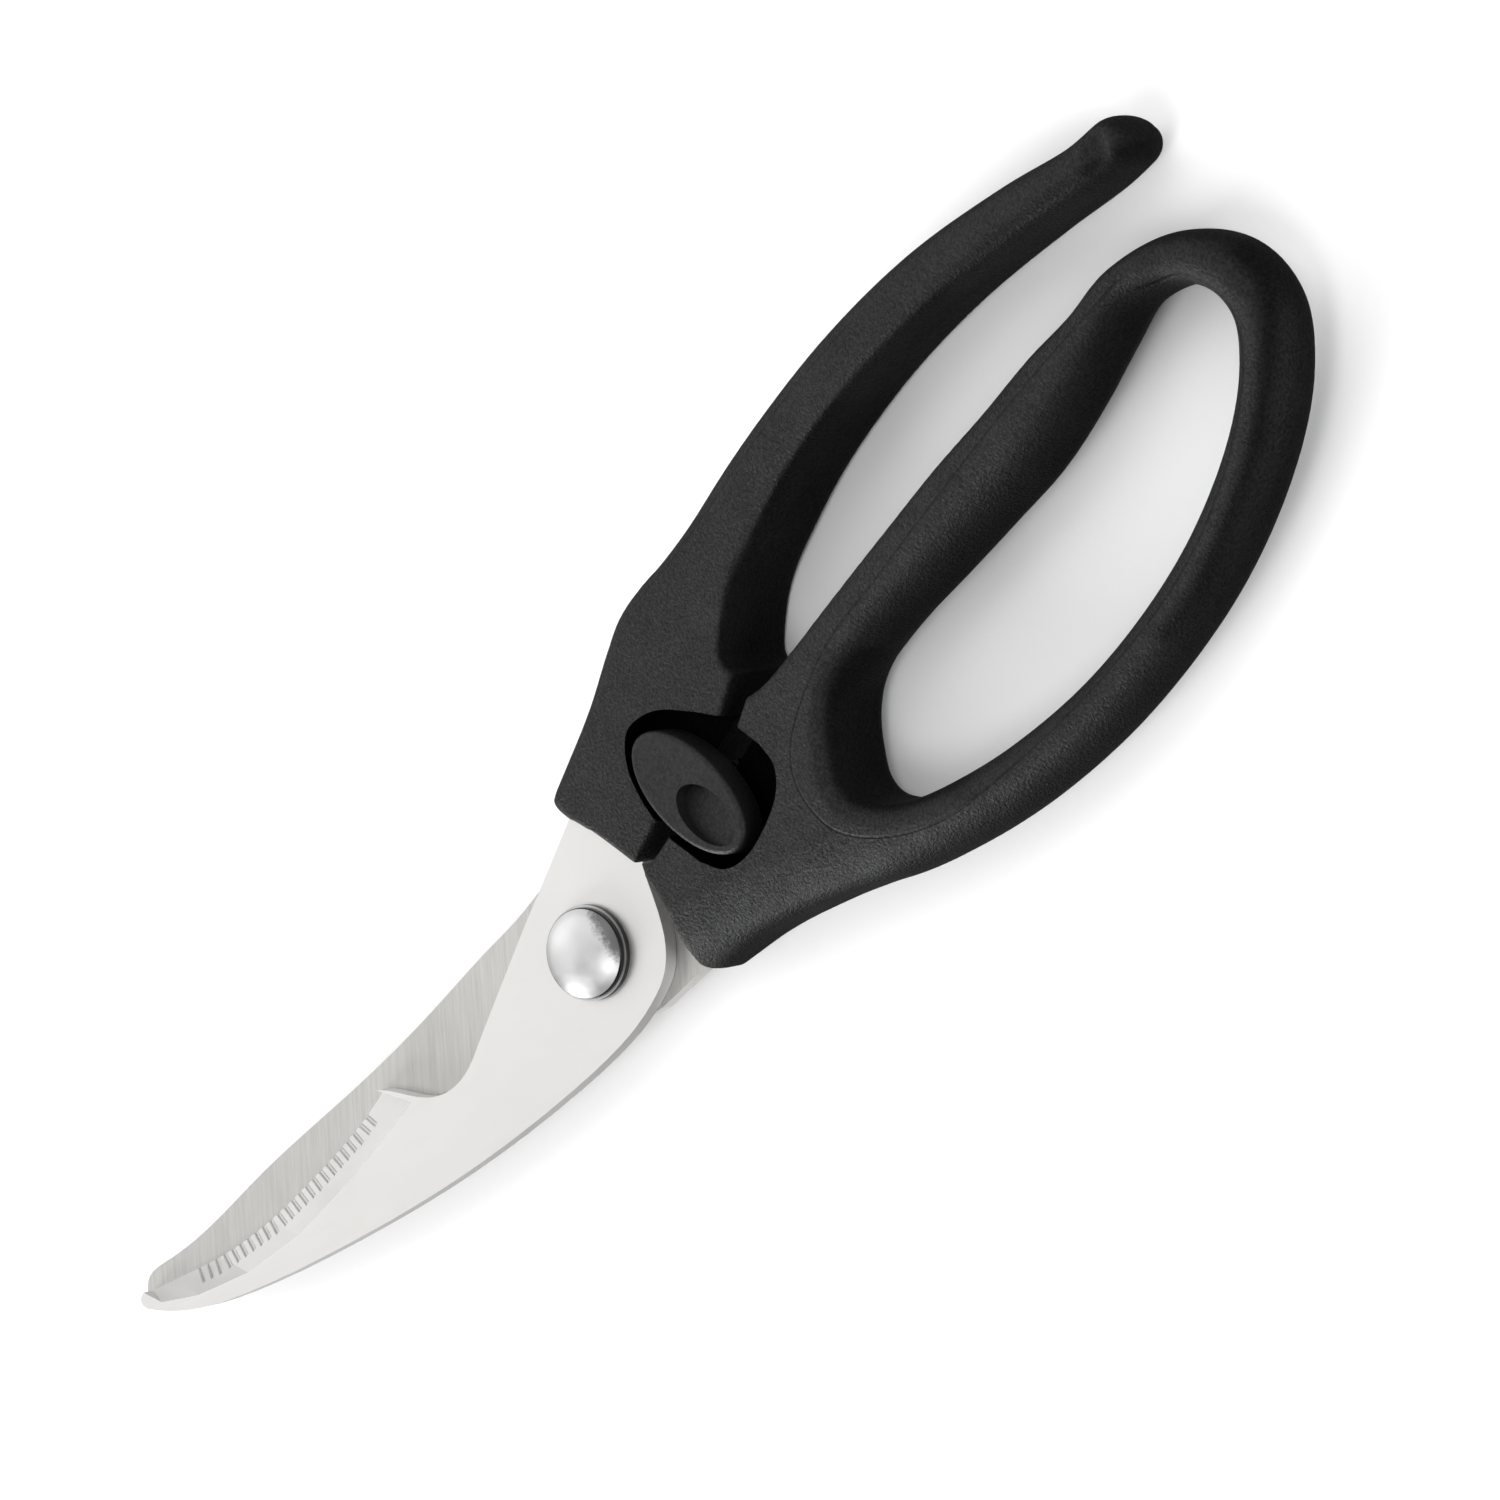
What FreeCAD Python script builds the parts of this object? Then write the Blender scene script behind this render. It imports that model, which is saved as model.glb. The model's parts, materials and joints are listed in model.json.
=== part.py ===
import FreeCAD, Part
import math
import os
from FreeCAD import Vector

os.makedirs("parts", exist_ok=True)

# Poultry shears, millimetres, +Z up, lying flat with the closed blades pointing along +X.
# The outlines are drawn about the pivot axis with z = 0 where the two blades meet, and every
# part is shifted at the end so that the origin is the middle of the underside.

# ---- driving dimensions -------------------------------------------------------------
HUB_H = 8.3             # half the thickness of the two handle hubs
BLADE_T = 2.6           # blade thickness
BLADE_GAP = 0.04        # each blade's inner face stands this far from the meeting plane
EDGE_T = 0.45           # thickness left at a cutting edge
SHANK_R = 3.5           # pivot bolt shank
RUNNING = 0.05          # radial clearance of everything that turns
HEAD_R = 6.4            # domed head of the pivot bolt
WASHER_R = 6.75
WASHER_T = 0.9
RIM_H = 0.8             # straight rim of the domed head
DOME_H = 1.5            # rise of the dome above its rim
NUT_R = 5.8
NUT_H = 2.8
PIN_XY = (-32.7, -0.2)  # catch pin
PIN_R = 1.6
CATCH_TOP = 8.6
CATCH_BOTTOM = 3.9
POCKET_FLOOR_OPEN = 3.5     # pocket floor in the open handle
POCKET_FLOOR_LOOP = 1.2     # deeper floor in the loop handle
SPRING_X = -31.0        # opening spring: axis along Y, under the catch
SPRING_Z = -3.8
SPRING_R = 2.6          # mean coil radius
SPRING_WIRE = 1.1
SPRING_Y = (-6.4, 15.4)     # the two closed ends of its bores
BORE_R = 3.5
SPRING_TURNS = 7
SERRATIONS = 24

TOP = BLADE_GAP + BLADE_T


# ---- helpers ------------------------------------------------------------------------
def v(p, z=0.0):
    return Vector(p[0], p[1], z)


def curve(points, z=0.0):
    """Edge through the points: a line for two, a smooth curve for more."""
    if len(points) == 2:
        return Part.makeLine(v(points[0], z), v(points[1], z))
    spline = Part.BSplineCurve()
    spline.interpolate([v(p, z) for p in points])
    return spline.toShape()


def prism(runs, z0, z1):
    """Solid between z0 and z1 whose outline follows the runs end to end and closes itself."""
    edges = [curve(run, z0) for run in runs]
    if v(runs[-1][-1]).distanceToPoint(v(runs[0][0])) > 1e-6:
        edges.append(Part.makeLine(v(runs[-1][-1], z0), v(runs[0][0], z0)))
    face = Part.Face(Part.Wire(edges))
    return face.extrude(Vector(0, 0, z1 - z0))


def disc(r, z0, z1, at=(0.0, 0.0)):
    return Part.makeCylinder(r, z1 - z0, Vector(at[0], at[1], z0))


def ellipse_prism(centre, angle, a, b, z0, z1):
    """Upright solid with an elliptical outline, long half-axis a at the angle in degrees."""
    e = Part.Ellipse(Vector(0, 0, 0), a, b)
    face = Part.Face(Part.Wire([e.toShape()]))
    face.rotate(Vector(0, 0, 0), Vector(0, 0, 1), angle)
    face.translate(Vector(centre[0], centre[1], z0))
    return face.extrude(Vector(0, 0, z1 - z0))


def oval_section(x, y, heading, half_w, half_h, power=2.7):
    """Closed rounded section standing across a limb that runs in the heading direction."""
    c, s = math.cos(heading), math.sin(heading)
    points = []
    for i in range(20):
        t = 2.0 * math.pi * i / 20
        ct, st = math.cos(t), math.sin(t)
        w = half_w * math.copysign(abs(ct) ** (2.0 / power), ct)
        h = half_h * math.copysign(abs(st) ** (2.0 / power), st)
        points.append(Vector(x - s * w, y + c * w, h))
    spline = Part.BSplineCurve()
    spline.interpolate(points, PeriodicFlag=True)
    return Part.Wire([spline.toShape()])


def limb(stations, count):
    """Grip limb: a smooth skin over evenly spaced oval sections.

    Stations are (x, y, half width, half height); a smooth curve through them sets every section.
    """
    steps = [0.0]
    for a, b in zip(stations, stations[1:]):
        steps.append(steps[-1] + math.hypot(b[0] - a[0], b[1] - a[1]))
    path = Part.BSplineCurve()
    path.interpolate([v(s) for s in stations], Parameters=steps)
    girth = Part.BSplineCurve()
    sizes = [Vector(s[2], s[3], step) for s, step in zip(stations, steps)]
    girth.interpolate(sizes, Parameters=steps)
    wires = []
    for i in range(count):
        at = steps[-1] * i / (count - 1)
        centre, size, way = path.value(at), girth.value(at), path.tangent(at)[0]
        wires.append(oval_section(centre.x, centre.y, math.atan2(way.y, way.x), size.x, size.y))
    return Part.makeLoft(wires, True, False)


def round_edges(solid, radius, wanted):
    """Fillet the edges whose mid point passes the test."""
    chosen = []
    for edge in solid.Edges:
        mid = edge.valueAt(0.5 * (edge.FirstParameter + edge.LastParameter))
        if wanted(mid, edge):
            chosen.append(edge)
    return solid.makeFillet(radius, chosen)


def is_flat(edge):
    box = edge.BoundBox
    return box.ZLength < 0.01


def bevel_tool(inner, outer, top, low, reach, over):
    """Wedge over a blade, from the ground line (inner) down to the cutting edge (outer)."""
    wires = []
    for p, q in zip(inner, outer):
        dx, dy = q[0] - p[0], q[1] - p[1]
        length = math.hypot(dx, dy)
        far = (q[0] + dx / length * reach, q[1] + dy / length * reach)
        drop = (top - low) / length * reach
        corners = [v(p, top), v(far, low - drop), v(far, top + over), v(p, top + over)]
        wires.append(Part.makePolygon(corners + [corners[0]]))
    return Part.makeLoft(wires, True, True)


def along(points, share):
    """Point at a share of the length of a polyline, with its direction."""
    lengths = [math.dist(a, b) for a, b in zip(points, points[1:])]
    left = share * sum(lengths)
    for a, b, length in zip(points, points[1:], lengths):
        if left <= length:
            t = left / length
            direction = ((b[0] - a[0]) / length, (b[1] - a[1]) / length)
            return (a[0] + (b[0] - a[0]) * t, a[1] + (b[1] - a[1]) * t), direction
        left -= length
    return points[-1], direction


# ---- blades -------------------------------------------------------------------------
FRONT_EDGE = [(38.6, -20.9), (46.6, -22.0), (56.9, -24.7), (67.3, -28.1), (77.6, -33.0),
              (85.0, -37.8), (89.4, -40.7)]
FRONT_GROUND = [(36.4, -14.8), (46.0, -16.6), (55.5, -18.9), (65.0, -21.7), (75.2, -26.4),
                (83.6, -32.2), (88.6, -37.2)]
FRONT_SPINE = [(91.1, -38.9), (88.0, -34.2), (77.6, -24.8), (62.1, -14.5), (41.4, -2.7),
               (20.7, 6.6), (10.3, 10.3), (5.2, 11.6), (0.0, 12.2), (-4.2, 11.9), (-8.3, 9.8),
               (-11.6, 6.3), (-15.6, 0.9)]
REAR_EDGE = [(7.0, 1.5), (20.7, -4.2), (31.0, -10.4), (41.4, -18.2), (51.7, -21.9),
             (67.3, -26.6), (77.6, -31.5), (89.4, -39.6)]
REAR_GROUND = [(3.0, -6.0), (17.0, -11.2), (29.0, -16.8), (40.0, -22.8), (50.3, -27.0),
               (65.0, -32.2), (75.6, -36.4), (88.6, -41.6)]
REAR_SPINE = [(90.6, -41.6), (88.6, -42.5), (84.0, -40.9), (63.3, -33.4), (42.6, -25.8),
              (21.9, -19.2), (11.6, -16.4), (3.0, -13.9), (-4.0, -12.2), (-8.4, -9.4),
              (-11.8, -5.4), (-14.2, 1.2), (-17.2, 6.6)]

# Front blade: its tang runs back into the open handle. A deep notch behind the cutting
# edge holds bones.
front_runs = [
    [(-14.2, -12.6), (-2.1, -11.6)],
    [(-2.1, -11.6), (12.0, -10.4), (22.0, -9.4), (27.5, -9.1), (31.3, -10.3), (34.0, -12.6),
     (36.2, -16.6), (38.6, -20.9)],
    FRONT_EDGE,
    [(89.4, -40.7), (90.8, -40.5), (91.1, -38.9)],
    FRONT_SPINE,
    [(-15.6, 0.9), (-19.0, 0.6)],
    [(-19.0, 0.6), (-27.0, -1.6), (-30.2, 2.0), (-36.0, 1.8), (-39.5, -2.0), (-52.0, -5.2)],
    [(-52.0, -5.2), (-78.0, -5.6), (-78.0, -9.6), (-52.0, -11.4), (-24.0, -12.4),
     (-14.2, -12.6)],
]
# The tang's far end is a plain strap, so its last run is straight lines.
front_runs[7:] = [[a, b] for a, b in zip(front_runs[7], front_runs[7][1:])]
front = prism(front_runs, BLADE_GAP, TOP)
front = front.cut(bevel_tool(FRONT_GROUND, FRONT_EDGE, TOP, EDGE_T, 3.0, 1.0))
front = front.cut(disc(SHANK_R + RUNNING, -5, 5))
for i in range(SERRATIONS):
    # Short ground strokes that slant back from the cutting edge.
    at, way = along(FRONT_EDGE, 0.10 + 0.72 * i / (SERRATIONS - 1))
    across = (-way[1] * 0.94 - way[0] * 0.34, way[0] * 0.94 - way[1] * 0.34)
    start = Vector(at[0] - across[0] * 1.2, at[1] - across[1] * 1.2, 0.02)
    stroke = Part.makeCylinder(0.42, 4.2, start, Vector(across[0], across[1], 0.42))
    front = front.cut(stroke)

# Rear blade: its tang runs back into the loop handle.
rear_runs = [
    REAR_SPINE,
    [(-17.2, 6.6), (-20.0, 9.2)],
    [(-20.0, 9.2), (-26.5, 12.4), (-30.0, 17.4), (-39.0, 15.4), (-46.0, 10.2)],
    [(-46.0, 10.2), (-66.0, 13.6)],
    [(-66.0, 13.6), (-65.4, 16.8)],
    [(-65.4, 16.8), (-47.0, 13.8)],
    [(-47.0, 13.8), (-40.0, 23.0), (-28.0, 23.6), (-17.0, 18.8)],
    [(-17.0, 18.8), (-7.2, 15.4), (1.0, 12.6)],
    [(1.0, 12.6), (5.0, 9.4), (7.0, 1.5)],
    REAR_EDGE,
    [(89.4, -39.6), (90.5, -40.6), (90.6, -41.6)],
]
rear = prism(rear_runs, -TOP, -BLADE_GAP)
tool = bevel_tool(REAR_GROUND[1:], REAR_EDGE[1:], TOP, EDGE_T, 3.0, 1.0)
rear = rear.cut(tool.mirror(Vector(0, 0, 0), Vector(0, 0, 1)))
rear = rear.cut(disc(SHANK_R + RUNNING, -5, 5))

# Holes that key the moulded handles to the tangs.
for x in (-58.0, -68.0):
    front = front.cut(disc(1.4, -5, 5, (x, -8.0)))
for at in ((-24.0, 17.4), (-40.0, 20.2)):
    rear = rear.cut(disc(1.8, -5, 5, at))

# ---- handles ------------------------------------------------------------------------
# Hubs: thick flat-faced blocks either side of a narrow seam.
loop_hub = prism([
    [(-16.9, 4.6), (-15.9, 7.6), (-14.0, 11.3), (-11.3, 14.8)],
    [(-11.3, 14.8), (-9.6, 17.3), (-10.8, 19.6)],
    [(-10.8, 19.6), (-19.3, 23.2), (-29.0, 29.5), (-39.3, 37.4), (-46.6, 41.6), (-52.6, 43.9)],
    [(-52.6, 43.9), (-54.4, 39.4)],
    [(-54.4, 39.4), (-51.4, 37.2), (-48.4, 34.0), (-46.0, 30.4), (-44.9, 27.2),
     (-45.6, 24.4), (-48.1, 21.7), (-51.2, 19.2), (-53.8, 17.8), (-56.4, 17.1)],
    [(-56.4, 17.1), (-54.5, 9.6)],
    [(-54.5, 9.6), (-51.6, 8.2), (-49.4, 6.9), (-47.5, 6.4)],
    [(-47.5, 6.4), (-16.9, 4.6)],
], -HUB_H, HUB_H)
loop_hub = round_edges(loop_hub, 1.3, lambda m, e: is_flat(e))
# The side away from the seam falls off in a long rounded slope towards a thinner rim.
slope = [(-3.2, 0.0), (-2.8, 2.4), (0.0, 5.3), (3.5, 7.4), (8.0, 8.6), (14.0, 9.4)]
slope_points = [Vector(0, -s, z) for s, z in slope]
under = [Vector(0, -s, -z) for s, z in slope[:0:-1]]
crown = Part.BSplineCurve()
crown.interpolate(under + slope_points)
ends = [slope_points[-1], Vector(0, -60, 9.4), Vector(0, -60, -9.4), under[0]]
crown_edges = [crown.toShape()] + [Part.makeLine(a, b) for a, b in zip(ends, ends[1:])]
crown_bar = Part.Face(Part.Wire(crown_edges)).extrude(Vector(80, 0, 0))
crown_bar.translate(Vector(-45, 0, 0))
crown_bar.rotate(Vector(0, 0, 0), Vector(0, 0, 1), -36.1)
crown_bar.translate(Vector(-19.5, 23.4, 0))
loop_hub = loop_hub.common(crown_bar)

open_hub = prism([
    [(-17.4, 2.6), (-17.3, -2.1), (-17.0, -6.2), (-16.3, -10.4), (-16.0, -12.3)],
    [(-16.0, -12.3), (-16.4, -13.8), (-18.0, -14.3)],
    [(-18.0, -14.3), (-31.0, -15.4), (-39.3, -16.9), (-44.8, -17.6), (-50.4, -16.8),
     (-56.0, -15.4), (-62.0, -14.2)],
    [(-62.0, -14.2), (-62.0, -3.9)],
    [(-62.0, -3.9), (-55.9, -2.7), (-51.0, -0.2), (-48.0, 2.6), (-45.7, 4.2)],
    [(-45.7, 4.2), (-17.4, 2.6)],
], -HUB_H, HUB_H)
open_hub = round_edges(open_hub, 0.8, lambda m, e: not is_flat(e) and m.x > -18 and m.y > 2)
open_hub = round_edges(open_hub, 1.3, lambda m, e: is_flat(e))

# Grips: the loop goes out along the upper limb, round the far end and back along the seam.
loop_grip = limb([
    (-38.5, 31.2, 4.6, 8.2), (-47.2, 37.9, 4.3, 7.7), (-61.8, 46.3, 4.1, 7.0),
    (-79.0, 52.4, 4.0, 6.6), (-99.4, 55.2, 3.9, 6.3), (-116.5, 53.7, 3.8, 6.2),
    (-126.8, 49.6, 3.8, 6.2), (-132.8, 44.6, 3.8, 6.2), (-134.5, 38.3, 3.9, 6.3),
    (-132.2, 31.9, 4.0, 6.5), (-124.6, 27.8, 4.2, 6.9), (-109.5, 24.2, 5.0, 7.5),
    (-89.1, 20.4, 5.8, 8.0), (-68.6, 15.7, 4.9, 8.25), (-57.4, 13.3, 4.2, 8.25),
    (-47.0, 11.6, 4.2, 8.2)], 32)
open_grip = limb([
    (-46.0, -6.8, 6.6, 8.2), (-56.0, -9.1, 6.2, 8.25), (-66.0, -9.3, 5.4, 8.25),
    (-78.7, -8.1, 4.8, 8.25), (-94.7, -4.8, 4.5, 8.1), (-110.0, 0.1, 4.1, 7.7),
    (-124.8, 6.9, 3.8, 7.2), (-135.0, 12.3, 3.9, 7.0), (-139.6, 14.7, 3.8, 6.4),
    (-142.4, 16.1, 2.9, 5.0), (-143.7, 16.8, 1.2, 2.4)], 26)

loop_handle = loop_hub.fuse(loop_grip)
open_handle = open_hub.fuse(open_grip)

# Pocket for the catch: open at the front face and across the seam.
pocket_runs = [
    [(-43.3, 5.0), (-43.3, 11.6)],
    [(-43.3, 11.6), (-42.2, 15.0), (-39.2, 17.2), (-34.2, 18.1), (-28.6, 17.6), (-25.4, 15.6),
     (-24.0, 11.8)],
    [(-24.0, 11.8), (-23.9, 5.0)],
    [(-23.9, 5.0), (-25.9, -0.9), (-28.6, -5.2), (-32.7, -7.6), (-37.2, -5.6), (-40.6, -0.6),
     (-43.3, 5.0)],
]
loop_handle = loop_handle.cut(prism(pocket_runs, POCKET_FLOOR_LOOP, HUB_H + 2))
open_handle = open_handle.cut(prism(pocket_runs, POCKET_FLOOR_OPEN, HUB_H + 2))

# Bores that seat the two ends of the opening spring.
spring_bore = Part.makeCylinder(
    BORE_R, SPRING_Y[1] - SPRING_Y[0], Vector(SPRING_X, SPRING_Y[0], SPRING_Z), Vector(0, 1, 0))
loop_handle = loop_handle.cut(spring_bore)
open_handle = open_handle.cut(spring_bore)

# Slots the tangs fill, and the socket of the catch pin.
pin = disc(PIN_R, -0.4, CATCH_BOTTOM + 2.6, PIN_XY)
front = front.cut(pin)
loop_handle = loop_handle.cut(rear)
open_handle = open_handle.cut(front).cut(pin)

# ---- catch --------------------------------------------------------------------------
catch = ellipse_prism((-31.0, 5.2), 82.7, 11.1, 5.8, CATCH_BOTTOM, CATCH_TOP)
catch = round_edges(catch, 0.7, lambda m, e: is_flat(e) and m.z > CATCH_TOP - 0.01)
# Thumb dimple: a sunk oval with a floor that slopes up towards the far end.
dimple = ellipse_prism((-30.2, 9.6), 86.0, 5.5, 3.3, 0.0, 4.0)
dimple.rotate(Vector(-30.2, 9.6, 0), Vector(1, 0, 0), 7.0)
dimple.translate(Vector(0, 0, CATCH_TOP - 1.5))
catch = catch.cut(dimple)
catch = catch.cut(disc(PIN_R + RUNNING, CATCH_BOTTOM - 1, CATCH_BOTTOM + 2.75, PIN_XY))

# ---- pivot --------------------------------------------------------------------------
head_bottom = TOP + 0.03 + WASHER_T
rim_top = head_bottom + RIM_H
dome_r = (HEAD_R ** 2 + DOME_H ** 2) / (2.0 * DOME_H)
dome = Part.makeSphere(dome_r, Vector(0, 0, rim_top + DOME_H - dome_r))
bolt = disc(HEAD_R, head_bottom, rim_top + DOME_H).common(dome)
bolt = round_edges(bolt, 0.25, lambda m, e: is_flat(e) and abs(m.z - rim_top) < 0.05)
nut_top = -TOP - 0.03 - WASHER_T
bolt = bolt.fuse(disc(SHANK_R, nut_top - NUT_H + 0.5, head_bottom))
washer_front = disc(WASHER_R, TOP + 0.03, head_bottom).cut(disc(SHANK_R + RUNNING, -9, 9))
washer_rear = disc(WASHER_R, nut_top, -TOP - 0.03).cut(disc(SHANK_R + RUNNING, -9, 9))
nut = disc(NUT_R, nut_top - NUT_H, nut_top).cut(disc(SHANK_R, -12, 9))
nut = round_edges(nut, 0.5, lambda m, e: is_flat(e) and m.z < nut_top - 1 and abs(m.x) > 4)
for side in (-1, 1):
    # Two blind holes take a pin spanner.
    nut = nut.cut(disc(0.6, nut_top - NUT_H - 1, nut_top - NUT_H + 1.6, (0, side * 4.6)))

# ---- opening spring -----------------------------------------------------------------
spring_length = SPRING_Y[1] - SPRING_Y[0] - 0.3 - SPRING_WIRE
helix = Part.makeHelix(spring_length / SPRING_TURNS, spring_length, SPRING_R)
profile = Part.Wire([Part.makeCircle(
    SPRING_WIRE / 2.0, Vector(SPRING_R, 0, 0), Vector(0, 1, 0))])
spring = Part.Wire(helix.Edges).makePipeShell([profile], True, True)
spring.rotate(Vector(0, 0, 0), Vector(1, 0, 0), -90)
spring.translate(Vector(SPRING_X, SPRING_Y[0] + 0.15 + SPRING_WIRE / 2.0, SPRING_Z))

# ---- export -------------------------------------------------------------------------
PARTS = {
    "front_blade": front,
    "rear_blade": rear,
    "open_handle": open_handle,
    "loop_handle": loop_handle,
    "pivot_bolt": bolt,
    "front_washer": washer_front,
    "rear_washer": washer_rear,
    "pivot_nut": nut,
    "catch_lever": catch,
    "catch_pin": pin,
    "opening_spring": spring,
}
points = Part.makeCompound(list(PARTS.values())).tessellate(0.02)[0]
whole = FreeCAD.BoundBox()
for point in points:
    whole.add(point)
shift = Vector(-whole.Center.x, -whole.Center.y, -whole.ZMin)
for name, shape in PARTS.items():
    moved = shape.copy()
    moved.translate(shift)
    moved.exportStep("parts/" + name + ".step")
    print(name, len(moved.Solids), moved.isValid(), round(moved.Volume, 1))
print("size", round(whole.XLength, 2), round(whole.YLength, 2), round(whole.ZLength, 2))
print("pivot axis at", round(shift.x, 3), round(shift.y, 3), "meeting plane z", round(shift.z, 3))
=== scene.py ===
import json
import math

import bmesh
import bpy
import numpy as np
from mathutils import Matrix, Vector


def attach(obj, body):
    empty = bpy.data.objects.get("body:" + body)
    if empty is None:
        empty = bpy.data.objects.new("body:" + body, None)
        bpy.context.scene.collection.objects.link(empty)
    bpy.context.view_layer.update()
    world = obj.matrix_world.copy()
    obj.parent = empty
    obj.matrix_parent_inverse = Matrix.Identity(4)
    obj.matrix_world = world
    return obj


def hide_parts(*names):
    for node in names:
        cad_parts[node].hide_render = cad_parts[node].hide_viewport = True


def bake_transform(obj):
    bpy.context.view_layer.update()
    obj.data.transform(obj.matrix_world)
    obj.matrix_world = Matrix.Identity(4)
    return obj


# Poultry shears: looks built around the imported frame. The frame is in metres; everything
# modelled here is worked out in millimetres about the blade pivot and scaled at the end.

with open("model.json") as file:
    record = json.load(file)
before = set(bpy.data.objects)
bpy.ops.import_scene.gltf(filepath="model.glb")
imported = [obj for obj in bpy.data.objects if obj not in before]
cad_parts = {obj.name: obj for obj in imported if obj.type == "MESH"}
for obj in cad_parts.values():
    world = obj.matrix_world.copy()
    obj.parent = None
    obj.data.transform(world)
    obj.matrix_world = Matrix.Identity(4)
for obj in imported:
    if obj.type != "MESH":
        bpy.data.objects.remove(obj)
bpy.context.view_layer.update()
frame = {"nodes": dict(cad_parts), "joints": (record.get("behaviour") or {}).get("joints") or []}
MM = 0.001

pivot_joint = next(j for j in frame["joints"] if j["name"] == "blade_pivot")
PIVOT = np.array(pivot_joint["pos_m"]) / MM      # pivot axis and the blades' meeting plane

# ---- handle dimensions, in mm about the pivot --------------------------------------------
HUB_H = 8.3             # half thickness of the hubs
CELL = 0.5              # size of the cells the handles are skinned from
JOIN = 1.6              # how widely a limb melts into its hub
SLAB_MARGIN = 0.02      # keeps the smoothed skin inside the hubs' flat faces
EDGE_R = 0.7            # roundness of the hubs' edges at the seam
HOLE_ROUND = 2.6        # added at the hub's end of the finger hole
LOOP_ROUND, OPEN_ROUND = 1.2, 1.9       # added along the outer sides
LOOP_SINK, OPEN_SINK = 1.8, 2.0         # how far the hubs' far ends sink into the limbs
HOLE_CENTRE = (-58.0, 29.0)             # middle of the hub's end of the finger hole
SLOPE_TURN = 36.1       # degrees the loop hub's long outer slope is turned in plan
LINE_REACH = 9.0        # how far from a parting line its distance is noted
POCKET_FLOOR_OPEN = 3.5         # heights of the catch pocket's floor in the two halves
POCKET_FLOOR_LOOP = 1.2
TOOL_OVERRUN = 2        # how far a cutting tool reaches out of the face
SPRING_X, SPRING_Z = -31.0, -3.8        # the spring's axis, which runs along Y
SPRING_Y0, SPRING_Y1 = -6.4, 15.4       # far ends of its two bores
SPRING_BORE = 3.5       # radius of the bores
SPRING_R, SPRING_WIRE = 2.6, 1.1        # radius to the middle of the wire, its thickness
SPRING_TURNS = 7
SPRING_CLOSED = 0.9     # turns wound shut at each end
SPRING_SHUT = 1.02      # pitch of those turns, in wire thicknesses
SPRING_PLAY = 0.15      # room between the coil and each end of its bores


# ---- outlines and skins ------------------------------------------------------------------
def smooth_run(points, step):
    """Points along a centripetal Catmull-Rom curve through the given ones."""
    p = np.array(points, float)
    if len(p) == 2:
        n = max(2, int(np.hypot(*(p[1] - p[0])) / step))
        return p[0] + (p[1] - p[0]) * np.linspace(0, 1, n)[:, None]
    p = np.vstack([2 * p[0] - p[1], p, 2 * p[-1] - p[-2]])
    out = []
    for a, b, c, d in zip(p, p[1:], p[2:], p[3:]):
        t0, t1 = 0.0, max(np.linalg.norm(b - a), 1e-6) ** 0.5
        t2 = t1 + max(np.linalg.norm(c - b), 1e-6) ** 0.5
        t3 = t2 + max(np.linalg.norm(d - c), 1e-6) ** 0.5
        n = max(2, int(np.linalg.norm((c - b)[:2]) / step))
        t = np.linspace(t1, t2, n, endpoint=False)[:, None]
        a1 = (t1 - t) / (t1 - t0) * a + (t - t0) / (t1 - t0) * b
        a2 = (t2 - t) / (t2 - t1) * b + (t - t1) / (t2 - t1) * c
        a3 = (t3 - t) / (t3 - t2) * c + (t - t2) / (t3 - t2) * d
        b1 = (t2 - t) / (t2 - t0) * a1 + (t - t0) / (t2 - t0) * a2
        b2 = (t3 - t) / (t3 - t1) * a2 + (t - t1) / (t3 - t1) * a3
        out.append((t2 - t) / (t2 - t1) * b1 + (t - t1) / (t2 - t1) * b2)
    out.append(p[-2][None, :])
    return np.vstack(out)


def outline(runs, step=0.5):
    """One closed loop of points from runs that meet end to end."""
    return np.vstack([smooth_run(run, step)[:-1] for run in runs])


def distance_to_line(points, line):
    """Distance from 2D points to a polyline, and the index of its nearest segment."""
    best = np.full(len(points), 1e9)
    which = np.zeros(len(points), int)
    for i, (a, b) in enumerate(zip(line[:-1], line[1:])):
        ab = b - a
        t = np.clip(((points - a) @ ab) / max(ab @ ab, 1e-12), 0, 1)
        d = np.hypot(*(points - a - t[:, None] * ab).T)
        closer = d < best
        best[closer] = d[closer]
        which[closer] = i
    return best, which


def inside(points, loop):
    """Whether 2D points lie in a closed loop."""
    x, y = points.T
    result = np.zeros(len(points), bool)
    for a, b in zip(loop, np.roll(loop, -1, axis=0)):
        spans = (a[1] > y) != (b[1] > y)
        if a[1] != b[1]:
            result ^= spans & (x < (b[0] - a[0]) * (y - a[1]) / (b[1] - a[1]) + a[0])
    return result


def signed_distance(points, loop):
    """Distance from 2D points to a closed loop, negative inside it."""
    closed = np.vstack([loop, loop[:1]])
    d, _ = distance_to_line(points, closed)
    return np.where(inside(points, loop), -d, d)


def step_between(x, low, high):
    """0 at low, 1 at high and a smooth step between; low may be the larger."""
    t = np.clip((x - low) / (high - low), 0, 1)
    return t * t * (3 - 2 * t)


def melt(a, b, k):
    """Smooth union of two distance fields."""
    h = np.clip(0.5 + 0.5 * (b - a) / k, 0, 1)
    return b + (a - b) * h - k * h * (1 - h)


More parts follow.
